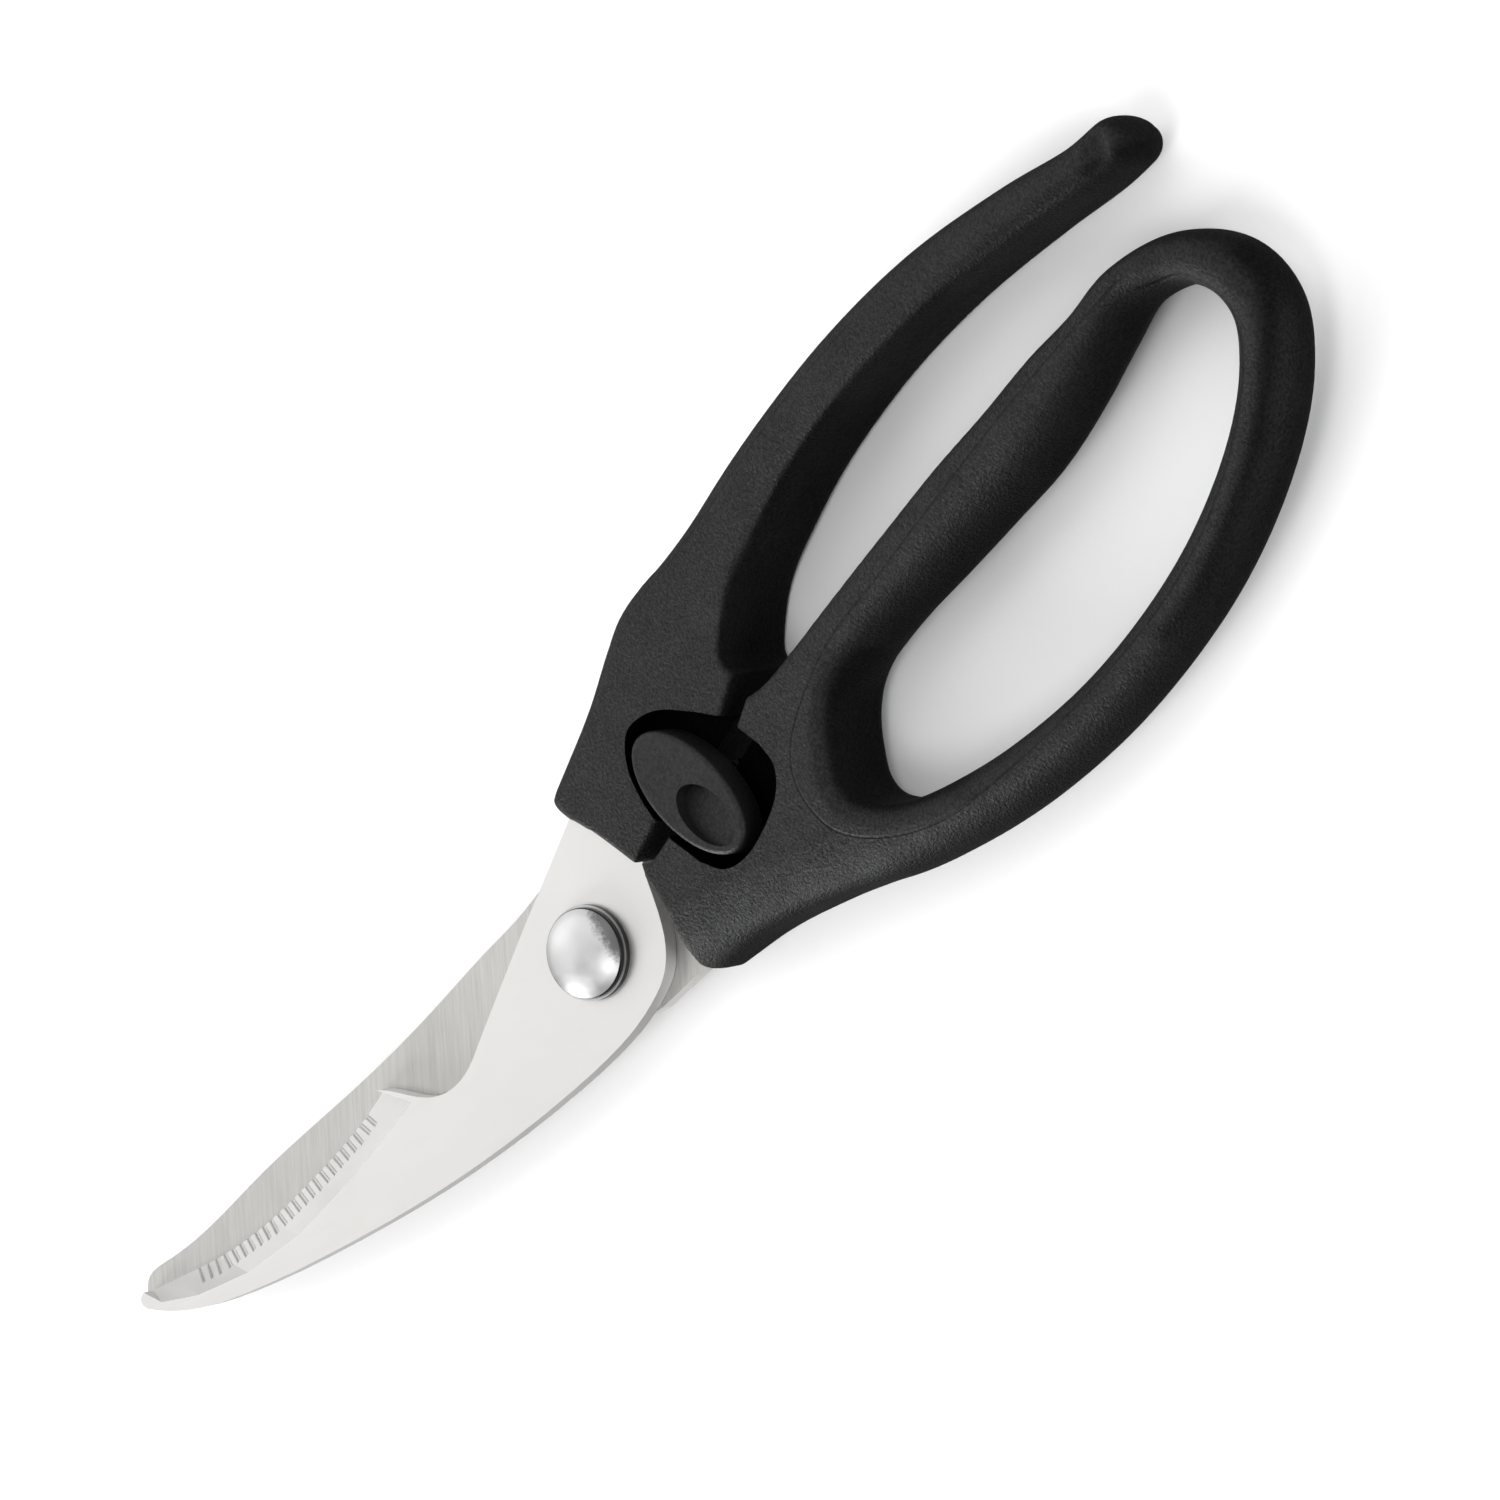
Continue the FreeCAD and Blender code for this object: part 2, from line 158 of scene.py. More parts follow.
class Grid:
    """A block of sample points over a rectangle, symmetric in z."""

    def __init__(self, x0, x1, y0, y1, top):
        self.x = np.arange(x0, x1 + CELL, CELL)
        self.y = np.arange(y0, y1 + CELL, CELL)
        n = int(math.ceil(top / CELL)) + 2
        self.z = (np.arange(-n, n + 1) + 0.5) * CELL
        gx, gy = np.meshgrid(self.x, self.y, indexing="ij")
        self.plan = np.c_[gx.ravel(), gy.ravel()]
        self.shape = gx.shape

    def flat(self, values):
        """Values given over the plan, as one layer that spreads over all heights."""
        return values.reshape(self.shape)[:, :, None]


def hub_field(grid, loop, edge_r, height):
    """Rounded block: the outline raised to +-height, edge_r and height given over the plan."""
    side = grid.flat(signed_distance(grid.plan, loop))
    r, h = grid.flat(edge_r), grid.flat(height)
    u = side + r
    w = np.abs(grid.z)[None, None, :] - h + r
    return np.minimum(np.maximum(u, w), 0) + np.hypot(np.maximum(u, 0), np.maximum(w, 0)) - r


def limb_field(grid, stations):
    """Grip limb along a curve. Stations are (x, y, half width, half height, squareness on the
    left of the way along, squareness on the right, lean): lean tips the crest to the left, or to
    the right where it is negative."""
    line = smooth_run(stations, 0.6)
    d, near = distance_to_line(grid.plan, line[:, :2])
    a, b = line[near], line[near + 1]
    ab = (b - a)[:, :2]
    length = np.maximum((ab ** 2).sum(1), 1e-12)
    t = np.clip(((grid.plan - a[:, :2]) * ab).sum(1) / length, 0, 1)
    here = a + (b - a) * t[:, None]
    left = ab[:, 0] * (grid.plan - a[:, :2])[:, 1] - ab[:, 1] * (grid.plan - a[:, :2])[:, 0] > 0
    power = np.where(left, here[:, 4], here[:, 5])
    share = grid.flat(d / here[:, 2])
    half_h = here[:, 3]
    signed = np.where(left, d, -d) / here[:, 2]
    toward = np.where(here[:, 6] > 0, -signed, signed)
    half_h = half_h - np.abs(here[:, 6]) * np.clip(0.25 + toward, 0, 1.25) ** 2
    rise = np.abs(grid.z)[None, None, :] / grid.flat(half_h)
    p = grid.flat(power)
    scale = grid.flat(np.minimum(here[:, 2], half_h))
    return ((share ** p + rise ** p) ** (1 / p) - 1) * scale


def dimple(grid, centre, height, turn, size):
    """Ball stretched to a size and turned in plan, to be taken out of the top or the back."""
    c, s = math.cos(math.radians(turn)), math.sin(math.radians(turn))
    x, y = (grid.plan - np.array(centre)).T
    share = np.hypot((x * c + y * s) / size[0], (y * c - x * s) / size[1])
    rise = (np.abs(grid.z)[None, None, :] - height) / size[2]
    return (np.hypot(grid.flat(share), rise) - 1) * min(size)


def skin(name, field, grid, smoothing=3):
    """Mesh of the field's zero surface: one point per cell it crosses, at the mean crossing."""
    inner = field < 0
    total = np.zeros((3,) + tuple(n - 1 for n in field.shape))
    count = np.zeros(total.shape[1:])
    sizes = [n - 1 for n in field.shape]

    def part(array, offset):
        return array[tuple(slice(o, o + n) for o, n in zip(offset, sizes))]

    for axis in range(3):
        for o1 in (0, 1):
            for o2 in (0, 1):
                lo = [0, 0, 0]
                lo[(axis + 1) % 3], lo[(axis + 2) % 3] = o1, o2
                hi = list(lo)
                hi[axis] = 1
                f0, f1 = part(field, lo), part(field, hi)
                cross = (f0 < 0) != (f1 < 0)
                t = np.where(cross, f0 / np.where(f0 == f1, 1, f0 - f1), 0)
                for k in range(3):
                    total[k] += cross * (lo[k] + (t if k == axis else 0))
                count += cross
    used = count > 0
    index = np.full(used.shape, -1)
    index[used] = np.arange(used.sum())
    cell = np.argwhere(used)
    places = cell + (total[:, used] / count[used]).T
    low = np.array([grid.x[0], grid.y[0], grid.z[0]])
    verts = low + places * CELL
    quads = []
    for axis in range(3):
        b, c = (axis + 1) % 3, (axis + 2) % 3
        core = [slice(1, -1)] * 3
        core[axis] = slice(0, -1)
        f0 = inner[tuple(core)]
        ahead = list(core)
        ahead[axis] = slice(1, None)
        f1 = inner[tuple(ahead)]
        at = np.argwhere(f0 != f1)
        at[:, b] += 1
        at[:, c] += 1
        flip = f0[f0 != f1]
        corner = []
        for db, dc in ((0, 0), (-1, 0), (-1, -1), (0, -1)):
            q = at.copy()
            q[:, b] += db
            q[:, c] += dc
            corner.append(index[tuple(q.T)])
        quad = np.stack(corner, 1)
        quad[~flip] = quad[~flip][:, ::-1]
        quads.append(quad)
    return mesh_piece(name, verts, np.vstack(quads), smoothing)


def mesh_piece(name, verts_mm, faces, smoothing=0):
    """Object from points about the pivot in mm."""
    mesh = bpy.data.meshes.new(name)
    mesh.from_pydata(((np.asarray(verts_mm, float) + PIVOT) * MM).tolist(), [],
                     [list(map(int, f)) for f in faces])
    mesh.update()
    piece = bpy.data.objects.new(name, mesh)
    bpy.context.scene.collection.objects.link(piece)
    if smoothing:
        relax = piece.modifiers.new("relax", "SMOOTH")
        relax.factor = 0.5
        relax.iterations = smoothing
        apply_modifiers(piece)
    return piece


def apply_modifiers(piece):
    """Makes the modifiers' result the piece's own mesh."""
    graph = bpy.context.evaluated_depsgraph_get()
    graph.update()
    mesh = bpy.data.meshes.new_from_object(piece.evaluated_get(graph))
    piece.modifiers.clear()
    old = piece.data
    piece.data = mesh
    bpy.data.meshes.remove(old)


def prism(name, loop, z0, z1):
    """Upright solid over a closed loop of points."""
    n = len(loop)
    verts = [(x, y, z0) for x, y in loop] + [(x, y, z1) for x, y in loop]
    faces = [list(range(n))[::-1], list(range(n, 2 * n))]
    faces += [[i, (i + 1) % n, n + (i + 1) % n, n + i] for i in range(n)]
    area = sum(a[0] * b[1] - b[0] * a[1] for a, b in zip(loop, np.roll(loop, -1, axis=0)))
    if area < 0:
        faces = [f[::-1] for f in faces]
    return mesh_piece(name, verts, faces)


def cut(piece, tools):
    """Take the tools out of the piece, leaving crisp edges."""
    for tool in tools:
        knife = piece.modifiers.new("cut", "BOOLEAN")
        knife.operation = "DIFFERENCE"
        knife.solver = "EXACT"
        knife.material_mode = "TRANSFER"
        knife.object = tool
        apply_modifiers(piece)


def drop(pieces):
    """Removes pieces that were only needed to cut others."""
    for piece in pieces:
        mesh = piece.data
        bpy.data.objects.remove(piece)
        bpy.data.meshes.remove(mesh)


def shade(piece, angle=38):
    """Smooth shading, with edges kept crisp where faces meet at more than the angle."""
    piece.data.shade_smooth()
    piece.data.set_sharp_from_angle(angle=math.radians(angle))


def note_distance(piece, line):
    """Stores how far each point stands from a line in plan, in mm, with and without its side,
    for the material to draw the line with; points on the back are left out."""
    co = np.array([v.co for v in piece.data.vertices], float) / MM - PIVOT
    d, near = distance_to_line(co[:, :2], line)
    d = np.where(co[:, 2] > 0.5, np.minimum(d, LINE_REACH), LINE_REACH)
    way, off = line[near + 1] - line[near], co[:, :2] - line[near]
    side = np.where(way[:, 0] * off[:, 1] - way[:, 1] * off[:, 0] > 0, d, -d)
    for name, values in (("mould_line", d), ("mould_side", side)):
        attribute = piece.data.attributes.new(name, "FLOAT", "POINT")
        attribute.data.foreach_set("value", values.astype(np.float32))


def note_painted_shade(piece, bands, shaded_walls):
    """Stores painted shade for each point's sheen, 0 to 1: along soft bands on the front, given
    as (line, half width in mm, strength), and on upright walls, given as (line, distance in mm
    up to which they are fully shaded, distance from which they are not, strength)."""
    mesh = piece.data
    co = np.array([v.co for v in mesh.vertices], float) / MM - PIVOT
    upright = np.abs([v.normal.z for v in mesh.vertices])
    painted_shade = np.zeros(len(co))
    for line, width, strength in bands:
        d, _ = distance_to_line(co[:, :2], smooth_run(line, 1.0))
        band = strength * np.exp(-(d / width) ** 2) * step_between(co[:, 2], -3.0, 0.0)
        painted_shade = np.maximum(painted_shade, band)
    for line, near, far, strength in shaded_walls:
        d, _ = distance_to_line(co[:, :2], np.array(line, float))
        wall = strength * step_between(d, far, near) * step_between(upright, 0.85, 0.45)
        painted_shade = np.maximum(painted_shade, wall)
    attribute = mesh.attributes.new("painted_shade", "FLOAT", "POINT")
    attribute.data.foreach_set("value", painted_shade.astype(np.float32))


# ---- materials ---------------------------------------------------------------------------
CLOUD_SCALE, PIT_SCALE, SPARK_SCALE = 160, 2100, 2600       # noise on the plastic, per metre
GRAIN_DEPTH, GROOVE_DEPTH = 0.0004, 0.00015                 # metres
GROOVE_SHADE_COLOR = (0.001, 0.001, 0.001, 1)
STREAK_SIZE = (0.00035, 0.012, 0.012)                       # one grinding streak, metres
STREAK_DEPTH, POLISH_DEPTH = 0.00002, 0.00003
# Bearings of the pivot head's painted shade and painted dark reflection.
FRONT_PAINTED_SHADE, BACK_PAINTED_REFLECTION = 30, 158                           # compass bearings, degrees


class Look:
    """A node material with one Principled shader."""

    def __init__(self, name):
        self.material = bpy.data.materials.new(name)
        self.material.use_nodes = True
        self.tree = self.material.node_tree
        self.shader = self.tree.nodes["Principled BSDF"]
        self.place = self.node("ShaderNodeTexCoord").outputs["Object"]

    def node(self, kind, **settings):
        made = self.tree.nodes.new(kind)
        for key, value in settings.items():
            setattr(made, key, value)
        return made

    def link(self, source, target):
        self.tree.links.new(source, target)

    def stretched(self, scale, turn):
        """Coordinates turned about Z, then divided by the size of a feature along each axis."""
        mapping = self.node("ShaderNodeMapping", vector_type="TEXTURE")
        mapping.inputs["Scale"].default_value = scale
        mapping.inputs["Rotation"].default_value = (0, 0, turn)
        self.link(self.place, mapping.inputs["Vector"])
        return mapping.outputs["Vector"]

    def noise(self, scale, detail, rough, vector=None):
        made = self.node("ShaderNodeTexNoise")
        made.inputs["Scale"].default_value = scale
        made.inputs["Detail"].default_value = detail
        made.inputs["Roughness"].default_value = rough
        self.link(vector or self.place, made.inputs["Vector"])
        return made.outputs["Fac"]

    def ramp(self, source, stops):
        made = self.node("ShaderNodeValToRGB")
        elements = made.color_ramp.elements
        while len(elements) < len(stops):
            elements.new(0.5)
        for element, (at, value) in zip(elements, stops):
            element.position = at
            color = value if isinstance(value, tuple) else (value, value, value)
            element.color = (*color, 1.0)
        self.link(source, made.inputs["Fac"])
        return made.outputs["Color"]

    def math(self, operation, a, b):
        made = self.node("ShaderNodeMath", operation=operation)
        for socket, value in zip(made.inputs, (a, b)):
            if isinstance(value, (int, float)):
                socket.default_value = value
            else:
                self.link(value, socket)
        return made.outputs["Value"]

    def attribute(self, name):
        return self.node("ShaderNodeAttribute", attribute_name=name).outputs["Fac"]

    def bump(self, height, strength, distance, below=None):
        made = self.node("ShaderNodeBump")
        made.inputs["Strength"].default_value = strength
        made.inputs["Distance"].default_value = distance
        self.link(height, made.inputs["Height"])
        if below is not None:
            self.link(below, made.inputs["Normal"])
        return made.outputs["Normal"]

    def set(self, **values):
        """Gives the shader numbers or links, and returns the material."""
        names = {"color": "Base Color", "metal": "Metallic", "rough": "Roughness",
                 "normal": "Normal", "specular": "Specular IOR Level",
                 "tint": "Specular Tint"}
        for key, value in values.items():
            socket = self.shader.inputs[names[key]]
            if isinstance(value, (int, float)):
                socket.default_value = value
            else:
                self.link(value, socket)
        return self.material


def moulded_plastic(name, dark, light, grain, gloss=0.205, lines=False):
    """Black polypropylene with a fine spark-eroded grain and the mould's parting lines."""
    look = Look(name)
    tone = look.noise(CLOUD_SCALE, 3, 0.6)
    pits = look.noise(PIT_SCALE, 3, 0.7)
    mixed = look.math("ADD", look.math("MULTIPLY", tone, 0.2), look.math("MULTIPLY", pits, 0.8))
    color = look.ramp(mixed, [(0.35, dark), (0.65, light)])
    sheen = look.ramp(mixed, [(0.38, 0.72), (0.62, 1.24)])
    # With lines, the painted shade stored on the mesh also darkens the sheen.
    if lines:
        sheen = look.math("MULTIPLY", sheen, look.math("SUBTRACT", 1.0, look.attribute("painted_shade")))
    look.set(rough=look.ramp(mixed, [(0.35, 0.62), (0.65, 0.48)]), specular=gloss, tint=sheen)
    sparks = look.noise(SPARK_SCALE, 2, 0.6)
    normal = look.bump(look.math("ADD", pits, sparks), grain, GRAIN_DEPTH)
    if lines:
        side = look.math("ABSOLUTE", look.attribute("mould_side"), 0)
        groove = look.ramp(side, [(0.0, 1.0), (0.10, 1.0), (0.22, 0.0)])
        near = look.math("LESS_THAN", look.attribute("mould_line"), 0.6)
        groove = look.math("MULTIPLY", groove, near)
        normal = look.bump(look.math("MULTIPLY", groove, -1.0), 0.8, GROOVE_DEPTH, normal)
        # The groove's bump is real; its darker colour is painted shade in the crease.
        mix = look.node("ShaderNodeMix", data_type="RGBA")
        look.link(groove, mix.inputs["Factor"])
        look.link(color, mix.inputs["A"])
        mix.inputs["B"].default_value = GROOVE_SHADE_COLOR
        color = mix.outputs["Result"]
    return look.set(color=color, normal=normal)


def tilt(look):
    """How nearly a face lies flat: 1 on the blade's flats, less on its ground bevels."""
    parts = look.node("ShaderNodeSeparateXYZ")
    look.link(look.node("ShaderNodeTexCoord").outputs["Normal"], parts.inputs[0])
    return look.math("ABSOLUTE", parts.outputs["Z"], 0)


def lean(look, bearing):
    """How far a face leans toward a compass bearing in degrees, as the sine of its lean."""
    a = math.radians(bearing)
    dot = look.node("ShaderNodeVectorMath", operation="DOT_PRODUCT")
    look.link(look.node("ShaderNodeTexCoord").outputs["Normal"], dot.inputs[0])
    dot.inputs[1].default_value = (math.cos(a), math.sin(a), 0)
    return dot.outputs["Value"]


def ground_steel(name, flat, bevel, rough, bearing, streak):
    """Steel with fine grinding streaks that run along a compass bearing in degrees. flat and
    bevel are the darkest and lightest tone on the blade's flats and on its ground bevels, and
    streak is the streaks' share in the tone."""
    look = Look(name)
    turn = math.radians(bearing + 90)
    streaks = look.noise(1.0, 4, 0.7, look.stretched(STREAK_SIZE, turn))
    cloud = look.noise(70, 3, 0.5)
    mixed = look.math("ADD", look.math("MULTIPLY", streaks, streak),
                      look.math("MULTIPLY", cloud, 1 - streak))
    # The flats and ground bevels are real, but the tones given to each are painted light and
    # shade.
    mix = look.node("ShaderNodeMix", data_type="RGBA")
    look.link(look.ramp(tilt(look), [(0.955, 0.0), (0.985, 1.0)]), mix.inputs["Factor"])
    # Painted light and shade: the bevel's tone is lightened on upright walls and darkened at
    # middling slopes.
    slope_shade = look.ramp(tilt(look), [(0.35, 1.4), (0.80, 0.90), (0.87, 0.80), (0.915, 1.0)])
    ground = look.node("ShaderNodeMix", data_type="RGBA", blend_type="MULTIPLY")
    ground.inputs["Factor"].default_value = 1.0
    look.link(look.ramp(mixed, [(0.3, bevel[0]), (0.7, bevel[1])]), ground.inputs["A"])
    look.link(slope_shade, ground.inputs["B"])
    look.link(ground.outputs["Result"], mix.inputs["A"])
    look.link(look.ramp(mixed, [(0.3, flat[0]), (0.7, flat[1])]), mix.inputs["B"])
    look.set(color=mix.outputs["Result"], metal=look.ramp(tilt(look), [(0.3, 0.0), (0.6, 1.0)]))
    look.set(rough=look.ramp(streaks, [(0.3, rough - 0.04), (0.7, rough + 0.05)]))
    return look.set(normal=look.bump(streaks, 0.2, STREAK_DEPTH))


def polished_steel(name):
    """Polished steel, bright on top, with painted shade down the rim and on one side, and a
    painted dark reflection on another side.
    """
    look = Look(name)
    marks = look.noise(300, 4, 0.6)
    # Painted shade: the head's tone darkens down the rim by slope.
    painted_dome_tone = look.ramp(tilt(look), [(0.0, 0.07), (0.80, 0.11), (0.885, 0.24), (0.935, 0.48),
                                  (0.985, 0.56), (1.0, 0.58)])
    # Painted shade on faces leaning toward one bearing, and a painted dark reflection with a
    # noisy edge toward the other.
    reflection_edge_noise = look.math("MULTIPLY", look.math("SUBTRACT", look.noise(1800, 3, 0.7), 0.5), 0.16)
    front_painted_shade = look.ramp(lean(look, FRONT_PAINTED_SHADE), [(0.22, 1.0), (0.50, 0.13)])
    back_painted_reflection = look.ramp(look.math("ADD", lean(look, BACK_PAINTED_REFLECTION), reflection_edge_noise),
                           [(0.26, 1.0), (0.35, 0.3)])
    painted_dome_tone = look.math("MULTIPLY", painted_dome_tone, look.math("MULTIPLY", front_painted_shade, back_painted_reflection))
    look.set(color=painted_dome_tone, metal=1.0)
    look.set(rough=look.ramp(marks, [(0.35, 0.35), (0.7, 0.45)]))
    return look.set(normal=look.bump(look.noise(900, 2, 0.5), 0.08, POLISH_DEPTH))


handle_look = moulded_plastic("handle_plastic", 0.003, 0.009, 0.5, lines=True)
# Painted shade: the pocket and the spring's bores get a near-black, barely glossy copy of the
# plastic.
recess_shade_look = moulded_plastic("handle_recess_painted_shade", 0.0004, 0.0008, 0.2, gloss=0.02)
catch_look = moulded_plastic("catch_plastic", 0.004, 0.007, 0.2, gloss=0.28)
# One steel as painted light and shade: the front blade's flats are lighter and its bevels darker
# than the rear blade's.
front_steel_painted_light = ground_steel("front_blade_steel", ((0.70, 0.69, 0.675), (0.73, 0.72, 0.705)),
                          ((0.37, 0.366, 0.36), (0.42, 0.416, 0.41)), 0.38, -30, 0.3)
rear_steel_painted_light = ground_steel("rear_blade_steel", ((0.43, 0.425, 0.41), (0.585, 0.575, 0.56)),
                         ((0.48, 0.475, 0.46), (0.58, 0.57, 0.56)), 0.40, 35, 0.75)
pivot_look = polished_steel("polished_steel")
wire_look = ground_steel("spring_steel", (0.05, 0.08), (0.05, 0.08), 0.5, 0, 0.5)


def dress(piece, material):
    piece.data.materials.clear()
    piece.data.materials.append(material)


# ---- handles -----------------------------------------------------------------------------
pocket_loop = outline([
    [(-43.3, 5.0), (-43.3, 11.6)],
    [(-43.3, 11.6), (-42.2, 15.0), (-39.2, 17.2), (-34.2, 18.1), (-28.6, 17.6), (-25.4, 15.6),
     (-24.0, 11.8)],
    [(-24.0, 11.8), (-23.9, 5.0)],
    [(-23.9, 5.0), (-25.9, -0.9), (-28.6, -5.2), (-32.7, -7.6), (-37.2, -5.6), (-40.6, -0.6),
     (-43.3, 5.0)],
], 0.8)


def bore_tool():
    """Round bar that leaves the spring's seats."""
    n = 40
    ring = [(SPRING_X + SPRING_BORE * math.cos(t), SPRING_Z + SPRING_BORE * math.sin(t))
            for t in np.linspace(0, 2 * math.pi, n, endpoint=False)]
    verts = [(x, SPRING_Y0, z) for x, z in ring] + [(x, SPRING_Y1, z) for x, z in ring]
    faces = [list(range(n)), list(range(n, 2 * n))[::-1]]
    faces += [[i, n + i, n + (i + 1) % n, (i + 1) % n] for i in range(n)]
    return mesh_piece("bore", verts, faces)


def slab(field, grid, top):
    """Keeps a melted joint from swelling past the hub's flat faces."""
    return np.maximum(field, np.abs(grid.z)[None, None, :] - top)


# Loop handle: hub, and a limb that runs out, round the far end and back along the gap.
loop_outline = outline([
    [(-16.9, 4.5), (-15.9, 7.6), (-14.0, 11.3), (-11.3, 14.8)],
    [(-11.3, 14.8), (-9.6, 17.3), (-10.8, 19.6)],
    [(-10.8, 19.6), (-19.3, 23.2), (-29.0, 29.5), (-39.3, 37.4), (-46.6, 41.6), (-53.0, 44.6),
     (-62.0, 47.4)],
    [(-62.0, 47.4), (-62.4, 45.4)],
    [(-62.4, 45.4), (-57.6, 42.2), (-54.4, 39.7), (-51.4, 37.2), (-48.4, 34.0), (-46.0, 30.4),
     (-44.9, 27.2), (-45.6, 24.4), (-48.1, 21.7), (-51.2, 19.2), (-53.8, 17.9), (-59.0, 16.6),
     (-69.0, 15.8)],
    [(-69.0, 15.8), (-69.2, 14.2)],
    [(-69.2, 14.2), (-62.0, 11.8), (-57.0, 10.1), (-53.6, 9.3), (-51.4, 8.6), (-49.3, 7.5),
     (-47.5, 6.3)],
    [(-47.5, 6.3), (-43.3, 7.0)],
    [(-43.3, 7.0), (-24.0, 5.4)],
    [(-24.0, 5.4), (-16.9, 4.5)],
])
loop_grid = Grid(-141.0, -7.0, 3.0, 62.0, HUB_H)
plan = loop_grid.plan

# The loop hub's long outer slope: the hub's half height against the depth in from its foot.
crown_from = np.array([-19.5, 23.4])
crown_in = np.array([-math.sin(math.radians(SLOPE_TURN)), -math.cos(math.radians(SLOPE_TURN))])
depth = (plan - crown_from) @ crown_in
crown = np.interp(depth, [-3.2, -2.8, -1.4, 0.0, 1.7, 3.5, 5.6, 8.0, 12.0],
                  [2.0, 2.9, 4.2, 5.3, 6.5, 7.3, 7.9, 8.3, 8.3])
hole_near = step_between(np.hypot(*(plan - np.array(HOLE_CENTRE)).T), 21.0, 16.0)
loop_edge = (EDGE_R + HOLE_ROUND * hole_near
             + LOOP_ROUND * step_between(plan[:, 1], 12.0, 20.0) * (1 - hole_near))
crown = crown - LOOP_SINK * step_between(-plan[:, 0], 52.0, 66.0)
loop_hub = hub_field(loop_grid, loop_outline, np.minimum(loop_edge, crown - 0.4), crown)
loop_limb = limb_field(loop_grid, [
    (-34.0, 26.6, 2.4, 5.4, 2.6, 2.4, 0.0), (-40.5, 33.2, 4.1, 6.8, 2.6, 2.4, 0.5),
    (-48.4, 39.1, 4.4, 7.3, 2.8, 2.4, 0.8), (-61.7, 46.6, 4.2, 7.0, 3.0, 2.3, 1.0),
    (-78.9, 52.7, 4.0, 6.6, 3.0, 2.2, 1.0), (-99.4, 55.5, 4.0, 6.3, 3.0, 2.2, 1.0),
    (-116.5, 53.8, 4.05, 6.2, 3.0, 2.2, 1.0), (-127.0, 50.0, 4.15, 6.2, 3.0, 2.2, 1.0),
    (-133.3, 44.9, 4.2, 6.2, 3.0, 2.2, 1.0), (-135.1, 38.3, 4.0, 6.4, 2.8, 2.4, 0.6),
    (-132.6, 31.5, 3.55, 6.7, 2.6, 2.8, 0.0), (-125.1, 26.5, 3.25, 7.1, 2.4, 3.6, -1.6),
    (-117.0, 25.6, 3.95, 7.4, 2.2, 4.2, -2.0), (-109.4, 24.6, 5.05, 7.7, 2.2, 5.0, -2.0),
    (-98.9, 23.1, 5.65, 8.0, 2.2, 6.0, -2.1), (-89.0, 20.6, 5.55, 8.15, 2.2, 6.5, -2.1),
    (-79.0, 18.2, 5.1, 8.3, 2.2, 7.0, -2.1), (-68.6, 15.6, 4.55, 8.3, 2.3, 7.0, -1.9),
    (-57.4, 13.3, 4.3, 8.3, 2.5, 7.0, -1.0), (-47.0, 11.6, 4.0, 8.1, 3.0, 7.0, 0.0)])
loop_field = slab(melt(loop_hub, loop_limb, JOIN), loop_grid, HUB_H - SLAB_MARGIN)
loop_handle = skin("loop_grip", loop_field, loop_grid)

# Open handle: hub, and a limb that tapers to a rounded pommel.
open_outline = outline([
    [(-17.4, 2.8), (-17.3, -2.1), (-17.0, -6.2), (-16.3, -10.4), (-16.0, -12.3)],
    [(-16.0, -12.3), (-16.4, -13.8), (-18.0, -14.3)],
    [(-18.0, -14.3), (-31.0, -15.4), (-39.3, -16.9), (-44.8, -17.6), (-50.4, -16.8),
     (-56.0, -15.2), (-64.0, -12.8), (-80.0, -8.6)],
    [(-80.0, -8.6), (-80.0, -7.4)],
    [(-80.0, -7.4), (-64.0, -5.6), (-58.0, -4.1), (-54.2, -2.4), (-51.6, -1.0), (-49.9, 0.2),
     (-49.3, 1.4), (-49.3, 3.0)],
    [(-49.3, 3.0), (-43.0, 4.3)],
    [(-43.0, 4.3), (-24.6, 2.8)],
    [(-24.6, 2.8), (-17.4, 2.8)],
])
open_grid = Grid(-146.0, -14.0, -19.5, 22.0, HUB_H)
plan = open_grid.plan
open_edge = EDGE_R + OPEN_ROUND * step_between(-plan[:, 1], 9.0, 14.0)
open_top = HUB_H - OPEN_SINK * step_between(-plan[:, 0], 58.0, 78.0)
open_hub = hub_field(open_grid, open_outline, open_edge, open_top)
open_limb = limb_field(open_grid, [
    (-46.0, -6.8, 6.4, 8.0, 2.8, 8.0, 0.0), (-56.0, -9.4, 6.3, 8.1, 2.6, 8.0, 0.0),
    (-66.0, -9.5, 5.7, 8.2, 2.5, 8.0, 0.0), (-78.7, -8.5, 4.9, 8.2, 2.5, 8.0, 0.0),
    (-94.8, -5.4, 4.5, 8.1, 2.5, 8.0, 0.0), (-110.1, -0.3, 4.35, 7.7, 2.5, 7.0, 0.0),
    (-124.8, 6.9, 3.9, 7.3, 2.5, 5.6, 0.0), (-134.9, 12.7, 3.5, 7.1, 2.4, 3.8, 0.0),
    (-139.8, 14.8, 3.7, 6.9, 2.3, 2.6, 0.0)])
open_field = slab(melt(open_hub, open_limb, JOIN), open_grid, HUB_H - SLAB_MARGIN)
end_dimple = dimple(open_grid, (-139.0, 15.0), 7.6, 30.0, (3.4, 1.5, 1.7))
open_field = -melt(-open_field, end_dimple, 1.0)
open_handle = skin("open_grip", open_field, open_grid)

dress(loop_handle, handle_look)
dress(open_handle, handle_look)
tool_top = HUB_H + TOOL_OVERRUN
tools = [prism("pocket_deep", pocket_loop, POCKET_FLOOR_LOOP, tool_top), bore_tool(),
         prism("pocket_shallow", pocket_loop, POCKET_FLOOR_OPEN, tool_top)]
